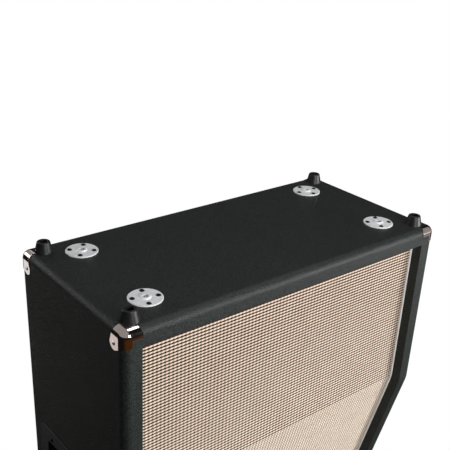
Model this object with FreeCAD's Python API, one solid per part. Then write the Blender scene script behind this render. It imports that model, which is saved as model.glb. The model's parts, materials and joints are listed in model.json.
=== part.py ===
import FreeCAD, Part
import math
import os
from FreeCAD import Placement, Rotation, Vector

# A slant-fronted guitar speaker cabinet with four loudspeakers, in millimetres.
# It stands on its rubber feet. The origin is on the floor under the middle of the box.
# +X is the right-hand side seen from the front, the grille faces -Y, and +Z is up.

# Box
cabinet_width = 770.0
cabinet_depth = 366.0
top_depth = 282.0
body_height = 734.0
break_height = 382.0
break_radius = 60.0
edge_radius = 15.0
panel_thickness = 18.0
vinyl_thickness = 0.8

# Front
front_border = 36.0
grille_recess = 25.0
cloth_thickness = 0.8
baffle_thickness = 18.0
piping_diameter = 4.6

# Back
back_inset = 8.0
back_thickness = 15.0
back_clearance = 1.0
batten_size = 22.0
post_size = 45.0

# Corner protectors
corner_thickness = 1.2
strap_length = 31.0
strap_reach = 17.0
strap_flare = 6.0
strap_edge_gap = 3.0
leaf_radius = 12.0
leaf_along = 27.0
leaf_up = 29.0

# Rubber feet
foot_height = 21.0
foot_base_diameter = 34.5
foot_end_diameter = 24.5
foot_rounding = 2.0
foot_inset = 32.5
foot_bore_diameter = 14.8
foot_bore_depth = 9.0
washer_diameter = 14.0
washer_thickness = 1.5

# Castor sockets
socket_diameter = 62.0
socket_thickness = 2.2
socket_edge = 0.8
socket_side_inset = 92.0
socket_front_inset = 78.5
socket_rear_inset = 69.5
collar_diameter = 22.0
collar_height = 2.4
socket_bore_diameter = 11.2
socket_tube_wall = 1.6
socket_tube_length = 38.0
socket_screw_circle = 46.0
socket_screw_count = 4
socket_turns_deg = {(1, 1): 36.0, (1, -1): 18.0, (-1, 1): 1.0, (-1, -1): 33.0}

# Recessed handles
handle_length = 230.0
handle_height = 142.0
handle_rear_gap = 43.0
handle_base_gap = 367.0
handle_flange_width = 27.0
handle_flange_thickness = 2.6
handle_flange_rounding = 1.2
handle_corner_radius = 18.0
handle_dish_radius = 12.0
handle_depth = 62.0
handle_wall = 3.0
handle_clearance = 0.6
grip_diameter = 24.0
grip_drop = 31.0
grip_setback = 2.0
handle_screw_inset = 49.0
handle_screw_rise = 19.5

# Jack plate
plate_width = 110.0
plate_height = 64.0
plate_thickness = 2.0
plate_radius = 6.0
plate_base_gap = 230.0
plate_screw_inset = 8.0
plate_window_margin = 16.0
jack_spacing = 42.0
jack_bore_diameter = 6.5
jack_bush_diameter = 9.5
jack_bush_length = 5.0
jack_body_size = 20.0
jack_body_length = 26.0
jack_floor = 2.0
nut_across_flats = 12.7
nut_thickness = 2.4

# Loudspeakers, as large as the room on their baffles allows
speaker_gap = 31.0
speaker_side_clearance = 12.0
speaker_row_clearance = 8.0
speaker_hole_margin = 13.0
flange_thickness = 2.0
flange_width = 17.5
basket_wall = 2.0
basket_depth = 78.0
basket_back_margin = 4.0
basket_back_bore = 60.0
window_count = 8
window_top = 16.0
window_bottom = 54.0
tag_width = 14.0
tag_height = 8.0
tag_reach = 18.0
top_plate_thickness = 8.0
magnet_gap = 10.6
magnet_thickness = 20.0
yoke_thickness = 8.0
pole_diameter = 42.8
coil_gap = 0.6
coil_wall = 0.7
coil_length = 30.0
cone_setback = 3.0
cone_wall = 1.0
cone_depth = 59.0
dust_cap_rise = 16.0
surround_wall = 0.8
spider_wall = 0.8
spider_drop = 2.0
bolt_diameter = 5.0
bolt_head_diameter = 10.0
bolt_head_height = 4.0
bolts_per_speaker = 4
lead_diameter = 5.0
lead_drop = 24.0

# Screws: head diameter, head height, shank diameter, length in the wood
wood_screw = {"head": 9.0, "rise": 2.6, "shank": 4.0, "length": 14.0}
corner_screw = {"head": 7.5, "rise": 2.0, "shank": 3.5, "length": 13.0}
socket_screw = {"head": 9.6, "rise": 2.4, "shank": 4.0, "length": 14.0}
plate_screw = {"head": 6.5, "rise": 1.8, "shank": 3.0, "length": 10.0}
back_screw_margin = 11.0
back_screws_wide = 4
back_screws_tall = 3

# Shares of the piece that carries them
cross_length_share = 0.62
cross_width_share = 0.17
cross_depth_share = 0.55
collar_top_share = 0.78
lead_offset_share = 0.25
magnet_share = 0.505
top_plate_share = 0.705
dust_cap_share = 0.363
window_share = 0.605
surround_share = 0.042

# One overrun for every cut that runs past a face, and how near a point lies to a plane that it is on
cut_overrun = 10.0
plane_tolerance = 0.001
parallel_share = 0.9999

# Places worked out from the sizes above
half_width = cabinet_width / 2
front_y = -cabinet_depth / 2
rear_y = cabinet_depth / 2
base_z = foot_height
top_z = base_z + body_height
break_z = base_z + break_height
slope = math.atan2(cabinet_depth - top_depth, body_height - break_height)
skin = vinyl_thickness + panel_thickness
inner_x = half_width - skin
floor_z = base_z + skin
ceiling_z = top_z - skin
baffle_face = grille_recess + cloth_thickness
baffle_back = baffle_face + baffle_thickness
back_face_y = rear_y - back_inset
back_inner_y = back_face_y - back_thickness
slant_run = (top_z - front_border - break_z) / math.cos(slope)
up = Vector(0, 0, 1)
sideways = Vector(1, 0, 0)
rearward = Vector(0, 1, 0)
slant_up = Vector(0, math.sin(slope), math.cos(slope))
slant_in = Vector(0, math.cos(slope), -math.sin(slope))

# Loudspeaker sizes that follow from the room for one of them
room_across = inner_x - speaker_gap / 2 - speaker_side_clearance
room_low = break_height - front_border - 2 * speaker_row_clearance
room_high = slant_run - 2 * speaker_row_clearance
speaker_diameter = min(room_across, room_low, room_high)
speaker_hole_diameter = speaker_diameter - 2 * speaker_hole_margin
cone_edge_diameter = speaker_diameter * (1 - 2 * surround_share) - 2 * flange_width
dust_cap_diameter = cone_edge_diameter * dust_cap_share
magnet_diameter = speaker_diameter * magnet_share
magnet_bore = pole_diameter + 2 * magnet_gap
top_plate_diameter = magnet_diameter * top_plate_share
basket_back_diameter = magnet_diameter + 2 * basket_back_margin

# Where the repeated pieces stand: left or right, front or rear, bottom or top
footprint = [(side, end) for side in (-1, 1) for end in (-1, 1)]
corners = [(side, end, level) for side in (-1, 1) for end in (-1, 1) for level in (-1, 1)]
speakers = [(side, level) for side in (-1, 1) for level in (-1, 1)]
side_name = {-1: "left", 1: "right"}
end_name = {-1: "front", 1: "rear"}
level_name = {-1: "bottom", 1: "top"}
row_name = {-1: "lower", 1: "upper"}


def box(x0, x1, y0, y1, z0, z1):
    """A block between two corners."""
    return Part.makeBox(x1 - x0, y1 - y0, z1 - z0, Vector(x0, y0, z0))


def fused(shapes):
    """One solid from pieces that touch."""
    return shapes[0].multiFuse(shapes[1:]).removeSplitter()


def edges_along(shape, direction):
    """Straight edges of a shape that run in a direction."""
    straight = [edge for edge in shape.Edges if isinstance(edge.Curve, Part.Line)]
    return [edge for edge in straight if abs(edge.Curve.Direction.dot(direction)) > parallel_share]


def edges_in_plane(shape, place, direction):
    """Edges of a shape that lie in the plane through a place, square to a direction."""
    def lies(edge):
        return all(abs((end.Point - place).dot(direction)) < plane_tolerance for end in edge.Vertexes)
    return [edge for edge in shape.Edges if lies(edge)]


def aimed(shape, place, direction):
    """A copy of a shape drawn along +Z, turned to a direction and moved to a place."""
    moved = shape.copy()
    moved.Placement = Placement(place, Rotation(up, direction))
    return moved


def polygon_prism(points, along):
    """A flat outline pushed along a vector."""
    return Part.Face(Part.makePolygon(points + points[:1])).extrude(along)


def turned(points):
    """A solid turned about the Z axis from radius and height pairs."""
    outline = [Vector(radius, 0, height) for radius, height in points]
    return Part.Face(Part.makePolygon(outline + outline[:1])).revolve(Vector(), up, 360)


def tube_run(points, radius):
    """A round bar along straight stretches, with a ball at each bend."""
    pieces = []
    for start, end in zip(points, points[1:]):
        pieces.append(Part.makeCylinder(radius, start.distanceToPoint(end), start, end - start))
    for bend in points[1:-1]:
        pieces.append(Part.makeSphere(radius, bend))
    return fused(pieces)


# Box, drawn from its side view

def slant_y(z, inset):
    """Depth of the slanted front at a height, a distance in from its face."""
    return front_y + (z - break_z) * math.tan(slope) + inset / math.cos(slope)


def break_point(inset):
    """Where the two front planes meet, a distance in from their faces."""
    return Vector(0, front_y + inset, break_z - inset * math.tan(slope / 2))


def body_outline(inset):
    """The side view drawn in by an even distance, with the break in the front rounded."""
    low = base_z + inset
    high = top_z - inset
    radius = break_radius - inset
    reach = radius * math.tan(slope / 2)
    lower = break_point(inset) - up * reach
    upper = break_point(inset) + slant_up * reach
    centre = lower + rearward * radius
    middle = centre + Vector(0, -math.cos(slope / 2), math.sin(slope / 2)) * radius
    front_low = Vector(0, front_y + inset, low)
    front_high = Vector(0, slant_y(high, inset), high)
    rear_high = Vector(0, rear_y - inset, high)
    rear_low = Vector(0, rear_y - inset, low)
    edges = [
        Part.makeLine(front_low, lower),
        Part.Arc(lower, middle, upper).toShape(),
        Part.makeLine(upper, front_high),
        Part.makeLine(front_high, rear_high),
        Part.makeLine(rear_high, rear_low),
        Part.makeLine(rear_low, front_low),
    ]
    return Part.Face(Part.Wire(edges))


def rounded_body(inset):
    """The whole box with its outer edges rounded, but not the smooth seams beside the break in the front."""
    half = half_width - inset
    prism = body_outline(inset).extrude(sideways * (2 * half))
    prism.translate(sideways * -half)
    low = base_z + edge_radius
    high = top_z - edge_radius
    seams = [edge for edge in edges_along(prism, sideways) if low < edge.CenterOfMass.z < high]
    rims = [edge for edge in prism.Edges if not any(edge.isSame(seam) for seam in seams)]
    return prism.makeFillet(edge_radius - inset, rims)


def front_slab(points):
    """An outline in the side view pushed across the whole box."""
    return polygon_prism([p - sideways * half_width for p in points], sideways * cabinet_width)


def lower_front(near, far):
    """A slab behind the upright front plane, between two depths."""
    return front_slab([
        Vector(0, front_y + near, base_z), break_point(near),
        break_point(far), Vector(0, front_y + far, base_z),
    ])


def upper_front(near, far):
    """A slab behind the slanted front plane, between two depths."""
    return front_slab([
        break_point(near), Vector(0, slant_y(top_z, near), top_z),
        Vector(0, slant_y(top_z, far), top_z), break_point(far),
    ])


def whole_front(near, far):
    """A slab behind both front planes, between two depths."""
    return front_slab([
        Vector(0, front_y + near, base_z), break_point(near),
        Vector(0, slant_y(top_z, near), top_z), Vector(0, slant_y(top_z, far), top_z),
        break_point(far), Vector(0, front_y + far, base_z),
    ])


def opening_block(border):
    """Everything that lies more than a border's width in from the box's outer faces, seen from the front."""
    return box(border - half_width, half_width - border, front_y - cut_overrun, rear_y + cut_overrun,
               base_z + border, top_z - border)


def side_panel(wood, side):
    """An upright side of the box."""
    return wood.common(box(min(side * inner_x, side * half_width), max(side * inner_x, side * half_width),
                           front_y, rear_y, base_z, top_z))


def level_panel(wood, low, high):
    """The bottom or top of the box, between the sides."""
    return wood.common(box(-inner_x, inner_x, front_y, rear_y, low, high))


def front_frame(wood):
    """Rails and bent stiles behind the front border, which hold the baffles."""
    ring = wood.common(whole_front(0, grille_recess)).common(opening_block(skin))
    ring = ring.cut(opening_block(front_border - vinyl_thickness))
    rail_low = base_z + front_border - vinyl_thickness
    rail_high = top_z - front_border + vinyl_thickness
    bands = [(base_z, rail_low), (rail_low, rail_high), (rail_high, top_z)]
    pieces = []
    for low, high in bands:
        pieces += ring.common(box(-half_width, half_width, front_y, rear_y, low, high)).Solids
    return Part.makeCompound(pieces)


def vinyl_covering(wood, body):
    """The glued covering, turned in over the front border and round the back opening."""
    back_reach = back_inset + back_thickness
    rear_zone = box(-half_width, half_width, rear_y - back_reach, rear_y + cut_overrun, base_z, top_z)
    front_zone = whole_front(-cut_overrun, grille_recess)
    shell = body.cut(wood)
    shell = shell.cut(front_zone.common(opening_block(front_border)))
    shell = shell.cut(rear_zone.common(opening_block(skin + vinyl_thickness)))
    front_lining = opening_block(front_border - vinyl_thickness).cut(opening_block(front_border))
    rear_lining = opening_block(skin).cut(opening_block(skin + vinyl_thickness))
    return fused([
        shell,
        front_lining.common(whole_front(0, grille_recess)).common(body),
        rear_lining.common(rear_zone).common(body),
    ])


def grille_piping():
    """A round cord in the corner between the cloth and the border."""
    radius = piping_diameter / 2
    inset = grille_recess - radius
    reach = half_width - front_border - radius
    low = base_z + front_border + radius
    high = top_z - front_border - radius
    side = [Vector(0, front_y + inset, low), break_point(inset), Vector(0, slant_y(high, inset), high)]
    loop = [p + sideways * reach for p in side] + [p - sideways * reach for p in reversed(side)]
    return tube_run(loop + loop[:2], radius)


# Back

def back_panel():
    """The board that closes the back, with a window behind the jack plate."""
    reach_x = inner_x - vinyl_thickness - back_clearance
    board = box(-reach_x, reach_x, back_inner_y, back_face_y,
                floor_z + vinyl_thickness + back_clearance, ceiling_z - vinyl_thickness - back_clearance)
    return board.cut(plate_window())


def rear_battens():
    """Four strips round the inside that the back panel is screwed to."""
    near = back_inner_y - batten_size
    inner = inner_x - batten_size
    return Part.makeCompound([
        box(-inner_x, inner_x, near, back_inner_y, floor_z, floor_z + batten_size),
        box(-inner_x, inner_x, near, back_inner_y, ceiling_z - batten_size, ceiling_z),
        box(-inner_x, -inner, near, back_inner_y, floor_z + batten_size, ceiling_z - batten_size),
        box(inner, inner_x, near, back_inner_y, floor_z + batten_size, ceiling_z - batten_size),
    ])


def centre_post():
    """A prop from the joint of the two baffles to the back panel."""
    middle = break_point(baffle_back).z
    half = post_size / 2
    prop = box(-half, half, front_y, back_inner_y, middle - half, middle + half)
    return prop.cut(whole_front(-cut_overrun, baffle_back))


# Screws

def screw(kind, place, outward):
    """A domed cross-head screw whose head sits at a place and points outward."""
    radius = kind["head"] / 2
    rise = kind["rise"]
    ball_radius = (radius ** 2 + rise ** 2) / (2 * rise)
    head = Part.makeSphere(ball_radius, up * (rise - ball_radius)).common(Part.makeCylinder(radius, rise))
    arm = radius * cross_length_share
    half = radius * cross_width_share
    floor = rise * (1 - cross_depth_share)
    cross = box(-arm, arm, -half, half, floor, rise).fuse(box(-half, half, -arm, arm, floor, rise))
    shank = Part.makeCylinder(kind["shank"] / 2, kind["length"], Vector(), -up)
    return aimed(head.cut(cross).fuse(shank), place, outward)


def screw_hole(kind, place, outward):
    """The hole that a screw's shank fills, running out past its head."""
    hole = Part.makeCylinder(kind["shank"] / 2, kind["length"] + cut_overrun, up * -kind["length"])
    return aimed(hole, place, outward)


def all_screws(kind, places):
    """One group of separate screws, from places and outward directions."""
    return Part.makeCompound([screw(kind, place, outward) for place, outward in places])


def drilled(shape, kind, places):
    """A shape with a hole for each screw that reaches it."""
    return shape.cut(Part.makeCompound([screw_hole(kind, place, outward) for place, outward in places]))


def back_screw_kind():
    """A screw that passes through the back panel into a batten."""
    kind = dict(wood_screw)
    kind["length"] += back_thickness
    return kind


def back_screw_places():
    """Screws round the edge of the back panel, over the battens."""
    reach_x = inner_x - back_screw_margin
    low = floor_z + back_screw_margin
    high = ceiling_z - back_screw_margin
    places = []
    for i in range(back_screws_wide):
        x = reach_x * (2 * i / (back_screws_wide - 1) - 1)
        places += [Vector(x, back_face_y, low), Vector(x, back_face_y, high)]
    for i in range(back_screws_tall):
        z = low + (high - low) * (i + 1) / (back_screws_tall + 1)
        places += [Vector(-reach_x, back_face_y, z), Vector(reach_x, back_face_y, z)]
    return [(place, rearward) for place in places]


# Corner protectors

def corner_frame(side, end, level):
    """The sharp corner of the box, and unit vectors from it along and into its three faces."""
    leans = end < 0 and level > 0
    y = slant_y(top_z, 0) if leans else end * rear_y
    origin = Vector(side * half_width, y, top_z if level > 0 else base_z)
    upright = slant_up * -1 if leans else up * -level
    inward = slant_in if leans else rearward * -end
    return origin, sideways * -side, rearward * -end, up * -level, upright, inward


def strap_cover(end, level):
    """How far the straps reach in over the base or top: a gap less than the rounding there."""
    leans = end < 0 and level > 0
    angle = math.pi / 2 + slope if leans else math.pi / 2
    return edge_radius / math.tan(angle / 2) - strap_edge_gap


def block_in_frame(origin, axes, highs):
    """A block from well outside a corner to a distance along each of three axes."""
    start = origin
    spans = []
    for axis, high in zip(axes, highs):
        start = start - axis * strap_reach
        spans.append(axis * (high + strap_reach))
    rim = [start, start + spans[0], start + spans[0] + spans[1], start + spans[1]]
    return polygon_prism(rim, spans[2])


def flared_strap(side, end, level):
    """The strap along the front or rear edge, as a prism, longer on the outer face than on the base."""
    origin, in_x, in_y, in_z, upright, inward = corner_frame(side, end, level)
    start = origin - (in_x + in_y + in_z) * strap_reach
    cover = strap_reach + strap_cover(end, level)
    short = strap_reach + strap_length
    tip = start + in_x * (short + strap_flare)
    rim = [start, tip, tip + in_y * strap_reach, start + in_x * short + in_y * cover, start + in_y * cover]
    return polygon_prism(rim, in_z * (2 * strap_reach))


def corner_leaf(side, end, level):
    """The rounded leaf on the side face, as a prism through the side."""
    origin, in_x, in_y, in_z, upright, inward = corner_frame(side, end, level)
    start = origin - in_x * strap_reach
    middle = start + in_y * leaf_along + upright * leaf_up
    rim = [
        start, start + in_y * strap_length, middle + in_y * leaf_radius,
        middle + upright * leaf_radius, start + upright * strap_length,
    ]
    through = in_x * (strap_reach + edge_radius)
    disc = Part.makeCylinder(leaf_radius, through.Length, middle, in_x)
    return polygon_prism(rim, through).fuse(disc)


def corner_protector(outer_skin, side, end, level):
    """Straps over the three rounded edges of one corner, and the leaf on the side face."""
    origin, in_x, in_y, in_z, upright, inward = corner_frame(side, end, level)
    below = origin + upright * (strap_reach + strap_edge_gap)
    rest = strap_length - strap_reach - strap_edge_gap
    upright_strap = block_in_frame(below, (in_x, upright, inward), (strap_reach, rest, strap_reach))
    level_axes = (in_x, in_y, in_z)
    cross_strap = flared_strap(side, end, level)
    side_strap = block_in_frame(origin, level_axes, (edge_radius - strap_edge_gap, strap_length, strap_reach))
    zone = upright_strap.multiFuse([cross_strap, side_strap, corner_leaf(side, end, level)])
    return outer_skin.common(zone).removeSplitter()


def corner_screw_place(side, end, level):
    """The middle of the leaf, on its outer face."""
    origin, in_x, in_y, in_z, upright, inward = corner_frame(side, end, level)
    return origin + in_y * leaf_along + upright * leaf_up - in_x * corner_thickness, sideways * side


# Feet

def foot_place(side, end):
    """The middle of a foot's end, on the floor."""
    return Vector(side * (half_width - foot_inset), end * (rear_y - foot_inset), 0)


def rubber_foot(side, end):
    """A tapered foot with a rounded end and a deep hole for its screw."""
    cone = Part.makeCone(foot_end_diameter / 2, foot_base_diameter / 2, foot_height)
    cone = cone.makeFillet(foot_rounding, edges_in_plane(cone, Vector(), up))
    cone = cone.cut(Part.makeCylinder(foot_bore_diameter / 2, foot_bore_depth))
    cone = cone.cut(Part.makeCylinder(wood_screw["shank"] / 2, foot_height))
    cone.translate(foot_place(side, end))
    return cone


def foot_washer(side, end):
    """A steel washer on the floor of a foot's hole."""
    ring = Part.makeCylinder(washer_diameter / 2, washer_thickness)
    ring = ring.cut(Part.makeCylinder(wood_screw["shank"] / 2, washer_thickness))
    ring.translate(foot_place(side, end) + up * (foot_bore_depth - washer_thickness))
    return ring


def foot_screw_kind():
    """A screw long enough to pass through the foot and its washer into the bottom panel."""
    kind = dict(wood_screw)
    kind["length"] += foot_height - foot_bore_depth + washer_thickness
    return kind


def foot_screw_places():
    """Screw heads under the washers, pointing at the floor."""
    head = up * (foot_bore_depth - washer_thickness)
    return [(foot_place(side, end) + head, -up) for side, end in footprint]


# Castor sockets

def socket_place(side, end):
    """The middle of a socket, on the base."""
    inset = socket_rear_inset if end > 0 else socket_front_inset
    return Vector(side * (half_width - socket_side_inset), end * (rear_y - inset), base_z)


def castor_socket(side, end):
    """A flat disc with a raised middle and a tube for a castor's stem."""
    disc = Part.makeCylinder(socket_diameter / 2, socket_thickness)
    disc = disc.makeChamfer(socket_edge, edges_in_plane(disc, up * socket_thickness, up))
    foot_radius = collar_diameter / 2
    collar = Part.makeCone(foot_radius, foot_radius * collar_top_share, collar_height, up * socket_thickness)
    bore = socket_bore_diameter / 2
    tube = Part.makeCylinder(bore + socket_tube_wall, socket_tube_length, Vector(), -up)
    height = socket_tube_length + socket_thickness + collar_height
    hole = Part.makeCylinder(bore, height, up * -socket_tube_length)
    whole = fused([disc, collar, tube]).cut(hole)
    return aimed(whole, socket_place(side, end), -up)


def socket_screw_places(side, end):
    """Four screws on a circle, each socket turned as it was fitted."""
    places = []
    for i in range(socket_screw_count):
        angle = math.radians(socket_turns_deg[side, end] + 360 * i / socket_screw_count)
        arm = Vector(math.cos(angle), math.sin(angle), 0) * (socket_screw_circle / 2)
        places.append((socket_place(side, end) + arm - up * socket_thickness, -up))
    return places


def socket_tube_hole(side, end):
    """The hole in the base that a socket's tube fills."""
    radius = socket_bore_diameter / 2 + socket_tube_wall
    return Part.makeCylinder(radius, socket_tube_length, socket_place(side, end), up)


# Recessed handles, drawn on the right-hand side

def handle_block(margin, x0, x1, radius):
    """A block with rounded corners inside the handle's outline, between two depths."""
    y1 = rear_y - handle_rear_gap - margin
    y0 = rear_y - handle_rear_gap - handle_length + margin
    z0 = base_z + handle_base_gap + margin
    z1 = base_z + handle_base_gap + handle_height - margin
    block = box(x0, x1, y0, y1, z0, z1)
    return block.makeFillet(radius, edges_along(block, sideways))


def handle_dish(margin, depth):
    """The outside or inside of the dish behind the flange."""
    inset = handle_flange_width + margin
    return handle_block(inset, half_width - depth, half_width, handle_dish_radius - margin)


def recessed_handle(side):
    """A moulded flange, dish and grip bar in one piece."""
    face_x = half_width + handle_flange_thickness
    flange = handle_block(0, half_width, face_x, handle_corner_radius)
    flange = flange.makeFillet(handle_flange_rounding, edges_in_plane(flange, sideways * face_x, sideways))
    hollow = handle_block(handle_flange_width + handle_wall, half_width - handle_depth + handle_wall, face_x,
                          handle_dish_radius - handle_wall)
    radius = grip_diameter / 2
    y1 = rear_y - handle_rear_gap - handle_flange_width
    span = handle_length - 2 * handle_flange_width
    grip_z = base_z + handle_base_gap + handle_height - handle_flange_width - grip_drop
    grip = Part.makeCylinder(radius, span, Vector(half_width - radius - grip_setback, y1, grip_z), -rearward)
    tray = flange.fuse(handle_dish(0, handle_depth)).cut(hollow)
    return sided(fused([tray, grip]), side)


def sided(shape, side):
    """A shape drawn on the right, or its mirror image on the left."""
    return shape if side > 0 else shape.mirror(Vector(), sideways)


def handle_screw_places(side):
    """Screws in the flange above and below the dish."""
    y_front = rear_y - handle_rear_gap - handle_length + handle_screw_inset
    y_rear = rear_y - handle_rear_gap - handle_screw_inset
    z_low = base_z + handle_base_gap + handle_screw_rise
    z_high = base_z + handle_base_gap + handle_height - handle_screw_rise
    x = side * (half_width + handle_flange_thickness)
    return [(Vector(x, y, z), sideways * side) for y in (y_front, y_rear) for z in (z_low, z_high)]


# Jack plate

def plate_block(margin, y0, y1):
    """A block inside the jack plate's outline, between two depths."""
    half = plate_width / 2 - margin
    low = base_z + plate_base_gap + margin
    return box(-half, half, y0, y1, low, low + plate_height - 2 * margin)


def plate_window():
    """The window in the back panel that the jacks pass through."""
    return plate_block(plate_window_margin, back_inner_y, back_face_y)


def jack_places():
    """Where the two jacks pass through the plate's outer face."""
    z = base_z + plate_base_gap + plate_height / 2
    y = back_face_y + plate_thickness
    return [Vector(x, y, z) for x in (-jack_spacing / 2, jack_spacing / 2)]


def jack_plate():
    """A flat steel plate with rounded corners and two holes."""
    plate = plate_block(0, back_face_y, back_face_y + plate_thickness)
    plate = plate.makeFillet(plate_radius, edges_along(plate, rearward))
    for place in jack_places():
        plate = plate.cut(Part.makeCylinder(jack_bush_diameter / 2, plate_thickness, place, -rearward))
    return plate


def plate_screw_places():
    """A screw in each corner of the plate."""
    half = plate_width / 2 - plate_screw_inset
    low = base_z + plate_base_gap + plate_screw_inset
    high = base_z + plate_base_gap + plate_height - plate_screw_inset
    y = back_face_y + plate_thickness
    return [(Vector(x, y, z), rearward) for x in (-half, half) for z in (low, high)]


def jack_socket(place):
    """A quarter-inch jack: a bush through the plate and a closed body behind it."""
    half = jack_body_size / 2
    body_top = -plate_thickness
    reach = plate_thickness + jack_bush_length
    depth = jack_body_length - jack_floor
    bush = Part.makeCylinder(jack_bush_diameter / 2, reach, up * body_top)
    body = box(-half, half, -half, half, body_top - jack_body_length, body_top)
    bore = Part.makeCylinder(jack_bore_diameter / 2, depth + reach, up * (body_top - depth))
    return aimed(fused([bush, body]).cut(bore), place, rearward)


def jack_nut(place):
    """A hexagon nut on a jack's bush."""
    across_corners = nut_across_flats / math.cos(math.pi / 6)
    rim = []
    for i in range(6):
        angle = math.pi * i / 3
        rim.append(Vector(math.cos(angle), math.sin(angle), 0) * (across_corners / 2))
    nut = polygon_prism(rim, up * nut_thickness)
    nut = nut.cut(Part.makeCylinder(jack_bush_diameter / 2, nut_thickness))
    return aimed(nut, place, rearward)


# Loudspeakers, drawn with the baffle's back face at zero and the sound going up

def basket_inner_radius(depth):
    """Radius inside the basket's tapering wall at a depth behind the baffle."""
    rim = speaker_diameter / 2 - flange_width
    back = basket_back_diameter / 2 - basket_wall
    return rim + (back - rim) * depth / basket_depth


def speaker_basket():
    """A pressed basket: flange, tapering wall with windows, back plate and a tag for the leads."""
    rim = speaker_diameter / 2
    inner = basket_inner_radius(0)
    back = basket_back_diameter / 2
    shell = turned([
        (rim, 0), (inner, 0), (back - basket_wall, -basket_depth), (basket_back_bore / 2, -basket_depth),
        (basket_back_bore / 2, -basket_depth - basket_wall), (back, -basket_depth - basket_wall),
        (inner + basket_wall, -flange_thickness), (rim, -flange_thickness),
    ])
    half = window_share * math.pi * (inner + back) / 2 / window_count
    core = Part.makeCylinder(back - cut_overrun, basket_depth, up * -basket_depth)
    windows = []
    for i in range(window_count):
        gap = box(0, rim, -half, half, -window_bottom, -window_top).cut(core)
        windows.append(gap.rotated(Vector(), up, 360 * (i + 1 / 2) / window_count))
    shell = shell.cut(Part.makeCompound(windows))
    tag_top = -window_bottom - tag_height
    tag = box(0, back + tag_reach, -tag_width / 2, tag_width / 2, tag_top - tag_height, tag_top)
    bowl = Part.makeCylinder(basket_inner_radius(-tag_top), basket_depth, up * -basket_depth)
    return fused([shell, tag.cut(bowl)])


def speaker_magnet():
    """Front plate, ceramic ring, and a back plate with its pole."""
    coil_outer = pole_diameter / 2 + 2 * coil_gap + coil_wall
    front = -basket_depth - basket_wall
    ring_top = front - top_plate_thickness
    yoke_top = ring_top - magnet_thickness
    plate = turned([
        (coil_outer, front), (top_plate_diameter / 2, front), (top_plate_diameter / 2, ring_top),
        (coil_outer, ring_top),
    ])
    ring = turned([
        (magnet_bore / 2, ring_top), (magnet_diameter / 2, ring_top), (magnet_diameter / 2, yoke_top),
        (magnet_bore / 2, yoke_top),
    ])
    yoke = turned([
        (0, front), (pole_diameter / 2, front), (pole_diameter / 2, yoke_top),
        (top_plate_diameter / 2, yoke_top), (top_plate_diameter / 2, yoke_top - yoke_thickness),
        (0, yoke_top - yoke_thickness),
    ])
    return Part.makeCompound([plate, ring, yoke])


def speaker_cone():
    """The paper cone with its voice coil former, and the dust cap."""
    edge = cone_edge_diameter / 2
    inner = pole_diameter / 2 + coil_gap
    outer = inner + coil_wall
    neck = -cone_setback - cone_depth
    paper = turned([
        (edge, -cone_setback), (outer, neck), (outer, neck - coil_length), (inner, neck - coil_length),
        (inner, neck + cone_wall), (edge, -cone_setback + cone_wall),
    ])
    cap_radius = dust_cap_diameter / 2
    cap_base = neck + cone_wall + (cap_radius - inner) * cone_depth / (edge - inner)
    ball_radius = (cap_radius ** 2 + dust_cap_rise ** 2) / (2 * dust_cap_rise)
    ball_centre = up * (cap_base + dust_cap_rise - ball_radius)
    cap = Part.makeSphere(ball_radius, ball_centre).cut(Part.makeSphere(ball_radius - cone_wall, ball_centre))
    cap = cap.common(Part.makeCylinder(cap_radius, dust_cap_rise, up * cap_base))
    return Part.makeCompound([paper, cap.cut(paper)])


def speaker_suspension():
    """The half-roll surround at the cone's edge, and the flat spider at its neck."""
    edge = cone_edge_diameter / 2
    rim = basket_inner_radius(cone_setback)
    middle = (edge + rim) / 2
    roll = (rim - edge) / 2
    ring = Part.makeTorus(middle, roll, up * -cone_setback)
    ring = ring.cut(Part.makeTorus(middle, roll - surround_wall, up * -cone_setback))
    ring = ring.common(Part.makeCylinder(rim, roll, up * -cone_setback))
    former = pole_diameter / 2 + coil_gap + coil_wall
    front = cone_setback + cone_depth + spider_drop
    back = front + spider_wall
    spider = turned([
        (former, -front), (basket_inner_radius(front), -front), (basket_inner_radius(back), -back),
        (former, -back),
    ])
    return Part.makeCompound([ring, spider])


def speaker_placement(side, level):
    """Where a speaker sits on the back of the lower or the slanted baffle."""
    x = side * (speaker_diameter + speaker_gap) / 2
    if level < 0:
        z = (base_z + front_border + break_z) / 2
        return Placement(Vector(x, front_y + baffle_back, z), Rotation(sideways, 90))
    place = Vector(x, front_y, break_z) + slant_up * (slant_run / 2) + slant_in * baffle_back
    return Placement(place, Rotation(sideways, 90 - math.degrees(slope)))


def seated(shape, side, level):
    """A copy of a speaker's piece at one of the four places."""
    moved = shape.copy()
    moved.Placement = speaker_placement(side, level).multiply(moved.Placement)
    return moved


def speaker_hole():
    """The hole in a baffle in front of a speaker."""
    return Part.makeCylinder(speaker_hole_diameter / 2, baffle_thickness)


def bolt_angles():
    """Directions of the bolts round a speaker's flange, in degrees."""
    return [360 * (i + 1 / 2) / bolts_per_speaker for i in range(bolts_per_speaker)]


def bolt_circle():
    """Radius of the bolts, in the middle of the flange that lies on the baffle."""
    return (speaker_diameter + speaker_hole_diameter) / 4


def round_bolts(shape):
    """Copies of a shape at each bolt of a speaker."""
    copies = []
    for angle in bolt_angles():
        place = Vector(bolt_circle(), 0, 0)
        copies.append(shape.translated(place).rotated(Vector(), up, angle))
    return Part.makeCompound(copies)


def bolt_shank():
    """A bolt's shank through the flange and the baffle."""
    length = flange_thickness + baffle_thickness
    return Part.makeCylinder(bolt_diameter / 2, length, up * -flange_thickness)


def speaker_bolts():
    """The bolts of one speaker, with their heads behind the flange."""
    end = up * (-flange_thickness - bolt_head_height)
    head = Part.makeCylinder(bolt_head_diameter / 2, bolt_head_height, end)
    return round_bolts(bolt_shank().fuse(head))


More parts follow.
